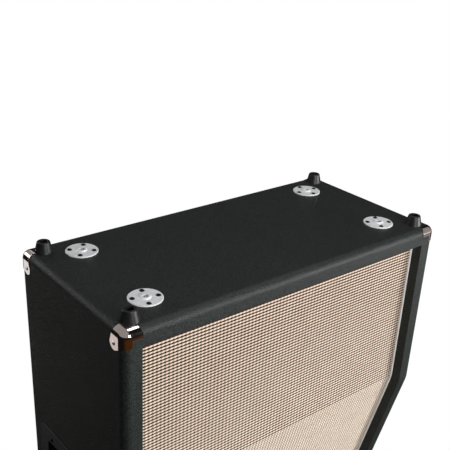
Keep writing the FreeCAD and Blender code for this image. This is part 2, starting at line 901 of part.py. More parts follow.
def speaker_lead(side, level, start):
    """A twin lead from the jacks to a speaker's tag."""
    tag_z = -window_bottom - tag_height * 2
    tag_x = -side * (basket_back_diameter / 2 + tag_reach - lead_diameter)
    placement = speaker_placement(side, level)
    end = placement.multVec(Vector(tag_x, 0, tag_z))
    turn = placement.multVec(Vector(tag_x, 0, tag_z - lead_drop))
    return tube_run([start, Vector(start.x, turn.y, start.z), turn, end], lead_diameter / 2)


def speaker_leads():
    """Four leads, two from the back of each jack."""
    leads = []
    jack_rear = rearward * (plate_thickness + jack_body_length)
    for side, place in zip((-1, 1), jack_places()):
        for level in (-1, 1):
            start = place - jack_rear + up * (level * jack_body_size * lead_offset_share)
            leads.append(speaker_lead(side, level, start))
    return Part.makeCompound(leads)


def box_parts():
    """Panels, frame, baffles, back and covering, with the holes for what they carry."""
    body = rounded_body(0)
    wood = rounded_body(vinyl_thickness)
    corner_places = [corner_screw_place(*corner) for corner in corners]
    socket_places = [place for spot in footprint for place in socket_screw_places(*spot)]
    tube_holes = Part.makeCompound([socket_tube_hole(*spot) for spot in footprint])
    handle_places = handle_screw_places(-1) + handle_screw_places(1)
    handle_holes = [sided(handle_dish(-handle_clearance, handle_depth), side) for side in (-1, 1)]
    handle_holes = Part.makeCompound(handle_holes)
    parts = {
        "bottom_panel": level_panel(wood, base_z, floor_z),
        "top_panel": level_panel(wood, ceiling_z, top_z),
        "vinyl_covering": vinyl_covering(wood, body),
        "front_frame": front_frame(wood),
        "grille_cloth": whole_front(grille_recess, baffle_face).common(opening_block(skin)),
        "grille_piping": grille_piping(),
        "rear_battens": rear_battens(),
        "centre_post": centre_post(),
        "back_panel": back_panel(),
    }
    for side in (-1, 1):
        parts[side_name[side] + "_side_panel"] = side_panel(wood, side)
    slabs = {-1: lower_front(baffle_face, baffle_back), 1: upper_front(baffle_face, baffle_back)}
    for level, slab in slabs.items():
        board = slab.common(opening_block(skin))
        for side in (-1, 1):
            board = board.cut(seated(speaker_hole(), side, level))
            board = board.cut(seated(round_bolts(bolt_shank()), side, level))
        parts[row_name[level] + "_baffle"] = board
    for name in ("left_side_panel", "right_side_panel", "vinyl_covering"):
        parts[name] = drilled(parts[name].cut(handle_holes), corner_screw, corner_places)
        parts[name] = drilled(parts[name], wood_screw, handle_places)
    for name in ("bottom_panel", "vinyl_covering"):
        parts[name] = drilled(parts[name].cut(tube_holes), socket_screw, socket_places)
        parts[name] = drilled(parts[name], foot_screw_kind(), foot_screw_places())
    for name in ("back_panel", "rear_battens"):
        parts[name] = drilled(parts[name], back_screw_kind(), back_screw_places())
    parts["back_panel"] = drilled(parts["back_panel"], plate_screw, plate_screw_places())
    parts["corner_screws"] = all_screws(corner_screw, corner_places)
    parts["castor_socket_screws"] = all_screws(socket_screw, socket_places)
    parts["handle_screws"] = all_screws(wood_screw, handle_places)
    parts["back_panel_screws"] = all_screws(back_screw_kind(), back_screw_places())
    outer_skin = rounded_body(-corner_thickness).cut(body)
    for side, end, level in corners:
        name = "corner_" + level_name[level] + "_" + end_name[end] + "_" + side_name[side]
        piece = corner_protector(outer_skin, side, end, level)
        parts[name] = drilled(piece, corner_screw, [corner_screw_place(side, end, level)])
    return parts


def underside_parts():
    """Feet, washers and castor sockets."""
    parts = {
        "foot_washers": Part.makeCompound([foot_washer(*spot) for spot in footprint]),
        "foot_screws": all_screws(foot_screw_kind(), foot_screw_places()),
    }
    for side, end in footprint:
        where = end_name[end] + "_" + side_name[side]
        parts["foot_" + where] = rubber_foot(side, end)
        parts["castor_socket_" + where] = drilled(castor_socket(side, end), socket_screw,
                                                  socket_screw_places(side, end))
    return parts


def fitting_parts():
    """Handles and the jack plate with its jacks."""
    plate = drilled(jack_plate(), plate_screw, plate_screw_places())
    parts = {
        "jack_plate": plate,
        "jack_plate_screws": all_screws(plate_screw, plate_screw_places()),
        "jack_sockets": Part.makeCompound([jack_socket(place) for place in jack_places()]),
        "jack_nuts": Part.makeCompound([jack_nut(place) for place in jack_places()]),
    }
    for side in (-1, 1):
        handle = drilled(recessed_handle(side), wood_screw, handle_screw_places(side))
        parts["handle_" + side_name[side]] = handle
    return parts


def speaker_parts():
    """Four loudspeakers, their bolts and their leads."""
    drawn = {
        "speaker_basket": speaker_basket().cut(round_bolts(bolt_shank())),
        "speaker_magnet": speaker_magnet(),
        "speaker_cone": speaker_cone(),
        "speaker_suspension": speaker_suspension(),
    }
    parts = {}
    bolts = []
    for side, level in speakers:
        where = "_" + row_name[level] + "_" + side_name[side]
        for name, shape in drawn.items():
            # The leads' tag points at the middle of the cabinet.
            facing = shape if side < 0 else shape.rotated(Vector(), up, 180)
            parts[name + where] = seated(facing, side, level)
        bolts.append(seated(speaker_bolts(), side, level))
    parts["speaker_bolts"] = Part.makeCompound(bolts)
    parts["speaker_leads"] = speaker_leads()
    return parts


def main():
    """Builds every piece and writes one file for each."""
    os.makedirs("parts", exist_ok=True)
    parts = {}
    for group in (box_parts, underside_parts, fitting_parts, speaker_parts):
        parts.update(group())
    for name, shape in parts.items():
        shape.exportStep("parts/" + name + ".step")
        print(name, "solids", len(shape.Solids), "valid", shape.isValid(), "volume", round(shape.Volume))


main()
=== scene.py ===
"""A slant-fronted guitar speaker cabinet, dressed in its own frame: metres, +Z up, grille towards -Y."""
import json
import logging
import math
from dataclasses import dataclass
from enum import Enum
from typing import Callable

import bmesh
import bpy
from mathutils import Matrix, Vector


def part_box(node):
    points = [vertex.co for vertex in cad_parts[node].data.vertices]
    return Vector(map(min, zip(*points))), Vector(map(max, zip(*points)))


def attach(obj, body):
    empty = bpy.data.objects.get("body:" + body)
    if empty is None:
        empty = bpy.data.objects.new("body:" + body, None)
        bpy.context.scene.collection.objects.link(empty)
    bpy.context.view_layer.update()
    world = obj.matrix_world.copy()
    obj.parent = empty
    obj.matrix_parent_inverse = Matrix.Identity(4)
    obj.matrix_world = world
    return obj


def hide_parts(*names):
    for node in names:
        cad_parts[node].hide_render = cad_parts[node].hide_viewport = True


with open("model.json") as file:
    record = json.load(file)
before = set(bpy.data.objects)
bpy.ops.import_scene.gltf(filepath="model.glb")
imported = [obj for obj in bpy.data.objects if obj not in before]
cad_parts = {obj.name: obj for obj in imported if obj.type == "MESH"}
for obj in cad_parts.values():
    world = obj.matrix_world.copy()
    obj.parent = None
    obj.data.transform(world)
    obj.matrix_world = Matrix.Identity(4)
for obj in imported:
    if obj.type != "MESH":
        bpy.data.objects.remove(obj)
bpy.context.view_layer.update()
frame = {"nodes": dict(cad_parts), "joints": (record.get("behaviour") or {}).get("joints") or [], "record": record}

logging.basicConfig(level=logging.INFO, format="%(message)s")
log = logging.getLogger("cabinet")

MM = 0.001
BODY = "cabinet"
HIDE = "#000000"
SHOW = "#ffffff"
QUARTER_TURN = math.pi / 2

Settings = dict[str | int, object]
Links = dict[str | int, bpy.types.NodeSocket]
Stop = tuple[float, str]
Pair = tuple[float, float]
Triple = tuple[float, float, float]


def linear(code: str) -> tuple[float, float, float, float]:
    """Turns an sRGB hex colour to the linear values that a shader takes.

    Args:
        code: A colour such as "#d8c8b4".

    Returns:
        Linear red, green and blue, with an alpha of one.
    """
    values = [int(code[i:i + 2], 16) / 255 for i in (1, 3, 5)]
    curve = [v / 12.92 if v <= 0.04045 else ((v + 0.055) / 1.055) ** 2.4 for v in values]
    return curve[0], curve[1], curve[2], 1.0


def add_node(tree: bpy.types.NodeTree, kind: str, settings: Settings | None = None,
             links: Links | None = None) -> bpy.types.Node:
    """Adds one node to a shader.

    Args:
        tree: The shader's node tree.
        kind: The node's type name, such as "ShaderNodeTexNoise".
        settings: Properties of the node, or values of its inputs, by name or by number. The "stops" of a
            colour ramp are two or more rising places, each with its colour.
        links: Outputs of other nodes, by the name or number of the input that they feed.

    Returns:
        The new node.
    """
    node = tree.nodes.new(kind)
    for name, value in (settings or {}).items():
        if name == "stops":
            steps = node.color_ramp.elements
            while len(steps) < len(value):
                steps.new(1.0)
            for step, (place, colour) in zip(steps, value):
                step.position = place
                step.color = linear(colour)
        elif isinstance(name, str) and hasattr(node, name):
            setattr(node, name, value)
        else:
            node.inputs[name].default_value = value
    for name, socket in (links or {}).items():
        tree.links.new(socket, node.inputs[name])
    return node


def new_tree(name: str) -> tuple[bpy.types.Material, bpy.types.NodeTree]:
    """Makes an empty material.

    Args:
        name: The material's name.

    Returns:
        The material and its node tree.
    """
    material = bpy.data.materials.new(name)
    material.use_nodes = True
    material.node_tree.nodes.clear()
    return material, material.node_tree


def per_metre(size_mm: float) -> float:
    """Texture scale that gives one repeat in a real size in millimetres."""
    return 1.0 / (size_mm * MM)


@dataclass(frozen=True)
class GrainedVinyl:
    """Calendered PVC covering: black, embossed with a leather-like grain that breaks up its soft shine, with
    painted shade in the grooves between the pebbles.
    """

    name: str = "embossed_black_vinyl"
    # The grain's height also picks the colour: the grooves take the deep colour as painted shade, and the pebble
    # tops take the raised one.
    deep: str = "#0a0e0d"
    raised: str = "#303634"
    stops: Pair = (0.1, 0.9)
    # The real pebbles are about half a millimetre, and are drawn coarser so that they show.
    grain_mm: float = 3.4
    grain_depth_mm: float = 0.5
    grain_rise: float = 2.4
    grain_strength: float = 0.7
    warp_mm: float = 0.6
    warp_grains: float = 3.0
    fine_mm: float = 0.45
    fine_share: float = 0.35
    cloud_mm: float = 160.0
    roughness: Pair = (0.4, 0.54)
    ior: float = 1.53
    specular: float = 0.24

    def build(self) -> bpy.types.Material:
        """Makes the material: cells for the embossed pebbles, and noise for the film between them.

        Returns:
            The material.
        """
        material, tree = new_tree(self.name)
        place = add_node(tree, "ShaderNodeTexCoord").outputs["Object"]
        bend = add_node(tree, "ShaderNodeTexNoise",
                        {"Scale": per_metre(self.grain_mm * self.warp_grains), "Detail": 2.0},
                        {"Vector": place})
        warped = add_node(tree, "ShaderNodeMix",
                          {"data_type": "RGBA", "blend_type": "LINEAR_LIGHT", "Factor": self.warp_mm * MM},
                          {6: place, 7: bend.outputs["Color"]}).outputs[2]
        cells = add_node(tree, "ShaderNodeTexVoronoi",
                         {"feature": "DISTANCE_TO_EDGE", "Scale": per_metre(self.grain_mm)},
                         {"Vector": warped})
        pebble = add_node(tree, "ShaderNodeMapRange", {"To Max": self.grain_rise},
                          {"Value": cells.outputs["Distance"]}).outputs["Result"]
        fine = add_node(tree, "ShaderNodeTexNoise", {"Scale": per_metre(self.fine_mm), "Detail": 4.0},
                        {"Vector": place})
        height = add_node(tree, "ShaderNodeMath", {"operation": "MULTIPLY_ADD", 1: self.fine_share},
                          {0: fine.outputs["Fac"], 2: pebble}).outputs[0]
        cloud = add_node(tree, "ShaderNodeTexNoise", {"Scale": per_metre(self.cloud_mm), "Detail": 3.0},
                         {"Vector": place})
        stops = tuple(zip(self.stops, (self.deep, self.raised)))
        colour = add_node(tree, "ShaderNodeValToRGB", {"stops": stops}, {"Fac": height}).outputs["Color"]
        smooth, dull = self.roughness
        rough = add_node(tree, "ShaderNodeMapRange", {"To Min": smooth, "To Max": dull},
                         {"Value": cloud.outputs["Fac"]}).outputs["Result"]
        bump = add_node(tree, "ShaderNodeBump",
                        {"Strength": self.grain_strength, "Distance": self.grain_depth_mm * MM},
                        {"Height": height}).outputs["Normal"]
        shader = add_node(tree, "ShaderNodeBsdfPrincipled",
                          {"IOR": self.ior, "Specular IOR Level": self.specular},
                          {"Base Color": colour, "Roughness": rough, "Normal": bump}).outputs[0]
        add_node(tree, "ShaderNodeOutputMaterial", links={"Surface": shader})
        return material


@dataclass(frozen=True)
class PlainFinish:
    """A finish with one main colour, a mottle, and a fine surface texture at a real size."""

    name: str
    low: str
    high: str
    texture_mm: float
    depth_mm: float
    roughness: Pair
    metallic: float = 0.0
    ior: float = 1.5
    specular: float = 0.5
    stretch: Triple = (1.0, 1.0, 1.0)
    mottle_repeats: float = 14.0
    mottle_stops: Pair = (0.3, 0.7)
    texture_strength: float = 0.5

    def build(self) -> bpy.types.Material:
        """Makes the material from one noise for the mottle and one for the texture.

        Returns:
            The material.
        """
        material, tree = new_tree(self.name)
        place = add_node(tree, "ShaderNodeTexCoord").outputs["Object"]
        laid = add_node(tree, "ShaderNodeMapping", {"Scale": self.stretch}, {"Vector": place}).outputs[0]
        mottle = add_node(tree, "ShaderNodeTexNoise",
                          {"Scale": per_metre(self.texture_mm * self.mottle_repeats), "Detail": 5.0},
                          {"Vector": laid}).outputs["Fac"]
        grit = add_node(tree, "ShaderNodeTexNoise", {"Scale": per_metre(self.texture_mm), "Detail": 3.0},
                        {"Vector": laid}).outputs["Fac"]
        stops = tuple(zip(self.mottle_stops, (self.low, self.high)))
        colour = add_node(tree, "ShaderNodeValToRGB", {"stops": stops}, {"Fac": mottle}).outputs["Color"]
        smooth, dull = self.roughness
        rough = add_node(tree, "ShaderNodeMapRange", {"To Min": smooth, "To Max": dull},
                         {"Value": mottle}).outputs["Result"]
        bump = add_node(tree, "ShaderNodeBump",
                        {"Strength": self.texture_strength, "Distance": self.depth_mm * MM},
                        {"Height": grit}).outputs["Normal"]
        settings: Settings = {"Metallic": self.metallic, "Specular IOR Level": self.specular}
        if self.metallic == 0.0:
            settings["IOR"] = self.ior
        shader = add_node(tree, "ShaderNodeBsdfPrincipled", settings,
                          {"Base Color": colour, "Roughness": rough, "Normal": bump}).outputs[0]
        add_node(tree, "ShaderNodeOutputMaterial", links={"Surface": shader})
        return material


class Finish(Enum):
    """The finishes of the CAD nodes, each named for its material and how it was made."""

    # A soft black that shows its grain where light rakes over it.
    VINYL = GrainedVinyl()
    # A warm mirror with crisp reflections.
    NICKEL = PlainFinish("polished_nickel_plate", "#d6cdca", "#e2dad7", 1.2, 0.003, (0.05, 0.11), 1.0)
    # A pale, even, slightly milky metal.
    ZINC = PlainFinish("bright_zinc_plate", "#e8eaec", "#f4f5f6", 0.8, 0.01, (0.42, 0.55), 0.15)
    # A satin black with a soft highlight along its edges.
    RUBBER = PlainFinish("moulded_black_rubber", "#161617", "#202021", 0.7, 0.02, (0.34, 0.48), specular=0.35)
    # A black with the fine sparkle of a textured mould.
    PLASTIC = PlainFinish("moulded_black_abs", "#17181a", "#1e1f21", 0.9, 0.06, (0.42, 0.55))
    # A dark metal with hardly any shine, which on the washers and screws deep in the feet is painted shade.
    OXIDE = PlainFinish("black_oxide_steel_and_bore_shade", "#0d0d0e", "#171718", 0.6, 0.01, (0.35, 0.5), 0.6)
    # An even black skin with a slight orange peel.
    COATED = PlainFinish("black_powder_coat", "#121213", "#1a1a1b", 0.5, 0.05, (0.45, 0.6))
    # A smooth, slightly waxy black.
    JACK = PlainFinish("black_nylon", "#121212", "#1b1b1b", 0.6, 0.01, (0.3, 0.42))
    # Warm pale wood, with grain drawn out along one way.
    WOOD = PlainFinish("sanded_birch_plywood", "#b08a5a", "#cfab78", 1.0, 0.05, (0.5, 0.7),
                       stretch=(0.15, 1.0, 1.0))
    # A flat black through which a little of the board's tooth shows.
    BOARD = PlainFinish("black_painted_board", "#0e0e0e", "#181818", 0.8, 0.05, (0.6, 0.8))
    # A dull, gritty dark grey.
    FERRITE = PlainFinish("sintered_ferrite", "#26262a", "#38383c", 0.7, 0.03, (0.5, 0.7), 0.2)
    # A fibrous matt black.
    PAPER = PlainFinish("pressed_paper_pulp", "#1e1d1c", "#2c2a28", 0.8, 0.08, (0.8, 0.95))
    # A brown cloth with a faint gloss from its resin.
    DOPED = PlainFinish("doped_cotton", "#2a231a", "#40351f", 0.9, 0.1, (0.6, 0.85))
    # A smooth satin black.
    JACKET = PlainFinish("extruded_pvc_jacket", "#151515", "#202020", 0.8, 0.02, (0.4, 0.55))
    # A clean white with a soft gleam along the bead.
    PIPING = PlainFinish("extruded_white_pvc", "#e6e4df", "#f4f3ef", 0.6, 0.02, (0.35, 0.5))
    # A dry, fibrous cream.
    CREAM = PlainFinish("woven_cream_yarn", "#c9b49e", "#e2d0bc", 0.5, 0.12, (0.75, 0.95), specular=0.2)


SLOT_FINISH: dict[str, Finish] = {
    "black_vinyl": Finish.VINYL, "grille_cloth": Finish.CREAM, "white_piping": Finish.PIPING,
    "nickel": Finish.NICKEL, "zinc": Finish.ZINC, "rubber": Finish.RUBBER, "black_plastic": Finish.PLASTIC,
    "black_screw": Finish.OXIDE, "black_steel": Finish.COATED, "jack_plastic": Finish.JACK,
    "wood": Finish.WOOD, "black_wood": Finish.BOARD, "magnet": Finish.FERRITE, "cone_paper": Finish.PAPER,
    "suspension": Finish.DOPED, "lead_jacket": Finish.JACKET,
}
# Painted shade: the washers and screws deep in the feet take the dark oxide finish, which stands in for the shade
# that leaves them black there.
BORE_SHADE_FINISH: dict[str, Finish] = {"foot_washers": Finish.OXIDE, "foot_screws": Finish.OXIDE}


def clear_selection() -> None:
    """Leaves nothing selected, so that an operator acts only on a new piece."""
    bpy.ops.object.select_all(action="DESELECT")


def pick(test: Callable[[Vector], bool]) -> None:
    """Selects the points of the piece in edit mode that pass a test, with the edges and faces between them.

    Args:
        test: Takes a point's place, and says whether it is picked.
    """
    shape = bmesh.from_edit_mesh(bpy.context.object.data)
    shape.select_mode = {"VERT"}
    for point in shape.verts:
        point.select = test(point.co)
    shape.select_flush_mode()
    bmesh.update_edit_mesh(bpy.context.object.data)


def apply_modifier(kind: str, **settings: object) -> None:
    """Adds a modifier to the active piece and applies it.

    Args:
        kind: The modifier's type name.
        settings: Its properties.
    """
    piece = bpy.context.object
    modifier = piece.modifiers.new(kind.lower(), kind)
    for name, value in settings.items():
        setattr(modifier, name, value)
    bpy.ops.object.modifier_apply(modifier=modifier.name)


def settle(piece: bpy.types.Object, name: str, material: bpy.types.Material) -> bpy.types.Object:
    """Names a finished piece, puts its place in its mesh, dresses it and lets it ride on the cabinet.

    Args:
        piece: The finished piece.
        name: Its name.
        material: Its material.

    Returns:
        The same piece.
    """
    clear_selection()
    piece.select_set(True)
    bpy.context.view_layer.objects.active = piece
    bpy.ops.object.transform_apply(location=True, rotation=True, scale=True)
    piece.name = name
    piece.data.name = name
    piece.data.materials.clear()
    piece.data.materials.append(material)
    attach(piece, BODY)
    log.info("%s: %d faces", name, len(piece.data.polygons))
    return piece


def dress_nodes(made: dict[Finish, bpy.types.Material]) -> None:
    """Gives every carried-over node the finish of its slot, except the washers and screws deep in the feet, which
    get the dark finish as painted shade.

    Args:
        made: The built material of each finish.
    """
    for part in frame["record"]["subparts"]:
        finish = BORE_SHADE_FINISH.get(part["node"], SLOT_FINISH[part["material_slot"]])
        node = frame["nodes"][part["node"]]
        node.data.materials.clear()
        node.data.materials.append(made[finish])
        log.info("%s: %s", part["node"], finish.value.name)


@dataclass(frozen=True)
class Lamp:
    """A square softbox that faces the middle of the cabinet."""

    name: str
    place_m: Triple
    size_m: float
    power_w: float
    aim_m: Triple = (0.0, 0.0, 0.35)

    def build(self) -> bpy.types.Object:
        """Makes the lamp.

        Returns:
            The lamp.
        """
        data = bpy.data.lights.new(self.name, "AREA")
        data.size = self.size_m
        data.energy = self.power_w
        lamp = bpy.data.objects.new(self.name, data)
        bpy.context.scene.collection.objects.link(lamp)
        lamp.location = self.place_m
        lamp.rotation_euler = (Vector(self.aim_m) - Vector(self.place_m)).to_track_quat("-Z", "Y").to_euler()
        return lamp


@dataclass(frozen=True)
class Sun:
    """A wide, even light from far away, which falls alike on all of the floor."""

    name: str
    towards: Triple
    spread_deg: float
    strength: float

    def build(self) -> bpy.types.Object:
        """Makes the light, which shows no disc of its own in metal.

        Returns:
            The light.
        """
        data = bpy.data.lights.new(self.name, "SUN")
        data.energy = self.strength
        data.angle = math.radians(self.spread_deg)
        light = bpy.data.objects.new(self.name, data)
        bpy.context.scene.collection.objects.link(light)
        light.rotation_euler = Vector(self.towards).to_track_quat("Z", "Y").to_euler()
        light.visible_glossy = False
        return light


class Axis(Enum):
    """A direction round the cabinet, along which places run from 0 to 1."""

    # From -X to +X.
    ACROSS = 0
    # From the front to the back.
    DEPTH = 1
    # From straight down to straight up.
    HEIGHT = 2


@dataclass(frozen=True)
class Fade:
    """Colours that follow one another along one direction, or a mask where they are only HIDE and SHOW."""

    axis: Axis
    stops: tuple[Stop, ...]

    def build(self, tree: bpy.types.NodeTree, axes: bpy.types.NodeOutputs) -> bpy.types.NodeSocket:
        """Makes the colour from the places along the three directions."""
        place = axes[self.axis.value]
        return add_node(tree, "ShaderNodeValToRGB", {"stops": self.stops}, {"Fac": place}).outputs["Color"]


@dataclass(frozen=True)
class Layer:
    """One thing that shows through a mask, and another round it, each a layer, a fade or a plain colour."""

    mask: "Layer | Fade"
    outside: "Layer | Fade | str"
    inside: "Layer | Fade | str"

    def build(self, tree: bpy.types.NodeTree, axes: bpy.types.NodeOutputs) -> bpy.types.NodeSocket:
        """Makes the colour from the places along the three directions.

        Args:
            tree: The world's node tree.
            axes: Places along the three directions, from 0 to 1.

        Returns:
            The colour.
        """
        settings: Settings = {"data_type": "RGBA"}
        links: Links = {0: self.mask.build(tree, axes)}
        for number, paint in ((6, self.outside), (7, self.inside)):
            if isinstance(paint, str):
                settings[number] = linear(paint)
            else:
                links[number] = paint.build(tree, axes)
        return add_node(tree, "ShaderNodeMix", settings, links).outputs[2]


@dataclass(frozen=True)
class Surround:
    """What bright metal mirrors: dark walls, with pale panels, grey sheets and brown boards between them."""

    pale: str = "#e3d8d5"
    bright: str = "#f4f4f2"
    dim: str = "#9c9795"
    shade: str = "#5a5756"
    dark: str = "#161514"
    timber: str = "#4c2b10"

    # The upper band has a sheet and boards in front, and panels at the back.
    upper: Fade = Fade(Axis.HEIGHT, ((0.62, HIDE), (0.66, SHOW), (0.82, SHOW), (0.86, HIDE)))
    upper_front: Fade = Fade(Axis.DEPTH, ((0.28, SHOW), (0.34, HIDE)))
    sheet: Fade = Fade(Axis.HEIGHT, ((0.69, dim), (0.74, bright)))
    boards: Fade = Fade(Axis.ACROSS, ((0.72, timber), (0.90, dark)))
    boards_side: Fade = Fade(Axis.ACROSS, ((0.21, HIDE), (0.26, SHOW)))
    upper_back: Fade = Fade(Axis.DEPTH, ((0.82, HIDE), (0.84, SHOW)))
    panel: Fade = Fade(Axis.DEPTH, ((0.88, pale), (0.90, bright)))
    panel_rows: Fade = Fade(Axis.HEIGHT, ((0.67, HIDE), (0.69, SHOW), (0.78, SHOW), (0.80, HIDE)))
    panel_columns: Fade = Fade(Axis.ACROSS, ((0.34, SHOW), (0.38, HIDE), (0.62, HIDE), (0.65, SHOW),
                                             (0.75, SHOW), (0.78, HIDE)))
    in_front: Layer = Layer(boards_side, sheet, boards)
    behind: Layer = Layer(upper_back, dark, Layer(panel_rows, dark, Layer(panel_columns, dark, panel)))
    above: Layer = Layer(upper_front, behind, in_front)

    # Below, a shaded sheet on the left meets an even one on the right, each up to its own height.
    shaded_sheet: Fade = Fade(Axis.DEPTH, ((0.35, dark), (0.45, shade), (0.88, shade), (0.91, pale)))
    even_side: Fade = Fade(Axis.ACROSS, ((0.38, HIDE), (0.46, SHOW)))
    under_left: Fade = Fade(Axis.HEIGHT, ((0.28, SHOW), (0.32, HIDE)))
    under_right: Fade = Fade(Axis.HEIGHT, ((0.40, SHOW), (0.44, HIDE)))
    under_side: Fade = Fade(Axis.ACROSS, ((0.42, HIDE), (0.48, SHOW)))
    sheets: Layer = Layer(even_side, shaded_sheet, dim)
    below: Layer = Layer(Layer(under_side, under_left, under_right), dark, sheets)

    # The far left has a panel in front and a shaded wall at the back.
    left: Fade = Fade(Axis.ACROSS, ((0.21, SHOW), (0.25, HIDE)))
    left_front: Fade = Fade(Axis.HEIGHT, ((0.46, dim), (0.54, pale), (0.56, pale), (0.60, dark)))
    left_back: Fade = Fade(Axis.DEPTH, ((0.77, dark), (0.81, shade)))
    left_depth: Fade = Fade(Axis.DEPTH, ((0.42, HIDE), (0.50, SHOW)))
    beside: Layer = Layer(left_depth, left_front, left_back)

    whole: Layer = Layer(upper, Layer(left, below, beside), above)


@dataclass
class Studio:
    """Floor, light and camera. The cabinet stands on the floor, and the camera looks up at its base."""

    eye_mm: Triple = (909.1, -1051.2, -608.8)
    aim_mm: Triple = (49.0, 2.8, 23.1)
    roll_deg: float = 2.62
    focal_px: float = 763.5
    centre_px: Pair = (220.0, 243.0)
    frame_px: float = 450.0
    sensor_mm: float = 36.0
    floor_size_m: float = 90.0
    floor_colour: str = "#f2f2f2"
    floor_glow: float = 0.18
    ambient: float = 0.09
    surround: Surround = Surround()
    lamps: tuple[Lamp, ...] = (
        Lamp("front_lamp", (0.1, -1.75, -0.5), 0.6, 24.0),
        Lamp("right_lamp", (-1.8, -2.0, 0.05), 0.6, 53.0),
        Lamp("under_lamp", (-0.7, -0.1, -2.1), 0.8, 16.5),
        Lamp("edge_lamp", (1.37, 2.42, -0.86), 0.6, 14.0),
    )
    suns: tuple[Sun, ...] = (
        Sun("top_sun", (-0.3, 0.0, 1.0), 70.0, 1.9),
        Sun("rear_sun", (-0.5, 1.0, 0.3), 50.0, 2.8),
    )

    def build_camera(self) -> bpy.types.Object:
        """Makes the camera of the photograph's view, which sees the cabinet base upward.

        Returns:
            The camera.
        """
        data = bpy.data.cameras.new("view")
        data.sensor_width = self.sensor_mm
        data.lens = self.focal_px / self.frame_px * self.sensor_mm
        data.shift_x = 0.5 - self.centre_px[0] / self.frame_px
        data.shift_y = self.centre_px[1] / self.frame_px - 0.5
        camera = bpy.data.objects.new("view", data)
        bpy.context.scene.collection.objects.link(camera)
        eye = Vector(self.eye_mm) * MM
        ahead = (Vector(self.aim_mm) * MM - eye).normalized()
        level = ahead.cross(Vector((0.0, 0.0, -1.0))).normalized()
        roll = math.radians(self.roll_deg)
        right = level * math.cos(roll) + level.cross(ahead) * math.sin(roll)
        turn = Matrix((right, right.cross(ahead), -ahead)).transposed()
        camera.matrix_world = Matrix.Translation(eye) @ turn.to_4x4()
        bpy.context.scene.camera = camera
        return camera

    def build_world(self) -> None:
        """Makes a world that is white to the eye, a plain grey light, and the surround to metal."""
        world = bpy.data.worlds.new("studio")
        bpy.context.scene.world = world
        world.use_nodes = True
        tree = world.node_tree
        tree.nodes.clear()
        path = add_node(tree, "ShaderNodeLightPath").outputs
        seen = add_node(tree, "ShaderNodeMath", {"operation": "MAXIMUM"},
                        {0: path["Is Camera Ray"], 1: path["Is Transmission Ray"]}).outputs[0]
        plain = add_node(tree, "ShaderNodeMapRange", {"To Min": self.ambient},
                         {"Value": seen}).outputs["Result"]
        towards = add_node(tree, "ShaderNodeTexCoord").outputs["Generated"]
        half = (0.5, 0.5, 0.5)
        places = add_node(tree, "ShaderNodeVectorMath", {"operation": "MULTIPLY_ADD", 1: half, 2: half},
                          {0: towards}).outputs[0]
        axes = add_node(tree, "ShaderNodeSeparateXYZ", links={0: places}).outputs
        mirrored = self.surround.whole.build(tree, axes)
        colour = add_node(tree, "ShaderNodeMix", {"data_type": "RGBA"},
                          {0: path["Is Glossy Ray"], 6: plain, 7: mirrored}).outputs[2]
        light = add_node(tree, "ShaderNodeBackground", links={"Color": colour})
        add_node(tree, "ShaderNodeOutputWorld", links={"Surface": light.outputs[0]})

    def build_floor(self) -> bpy.types.Object:
        """Makes a white floor that shows its upper side and the shadow, and lets light up from below.

        Returns:
            The floor.
        """
        clear_selection()
        bpy.ops.mesh.primitive_plane_add(size=self.floor_size_m)
        floor = bpy.context.object
        floor.name = "floor"
        # Matt paper, an even white with no shine. Its faint glow lifts it to the white behind it.
        material, tree = new_tree("matt_white_paper")
        under = add_node(tree, "ShaderNodeNewGeometry").outputs["Backfacing"]
        paper = add_node(tree, "ShaderNodeBsdfDiffuse", {"Color": linear(self.floor_colour)})
        glow = add_node(tree, "ShaderNodeEmission", {"Color": linear(SHOW), "Strength": self.floor_glow})
        sheet = add_node(tree, "ShaderNodeAddShader", links={0: paper.outputs[0], 1: glow.outputs[0]})
        clear = add_node(tree, "ShaderNodeBsdfTransparent")
        shader = add_node(tree, "ShaderNodeMixShader",
                          links={0: under, 1: sheet.outputs[0], 2: clear.outputs[0]}).outputs[0]
        add_node(tree, "ShaderNodeOutputMaterial", links={"Surface": shader})
        floor.data.materials.append(material)
        floor.visible_diffuse = False
        floor.visible_glossy = False
        floor.visible_transmission = False
        floor.visible_shadow = False
        return floor

    def build(self) -> None:
        """Makes the whole studio."""
        self.build_camera()
        self.build_world()
        self.build_floor()
        for light in self.lamps + self.suns:
            light.build()


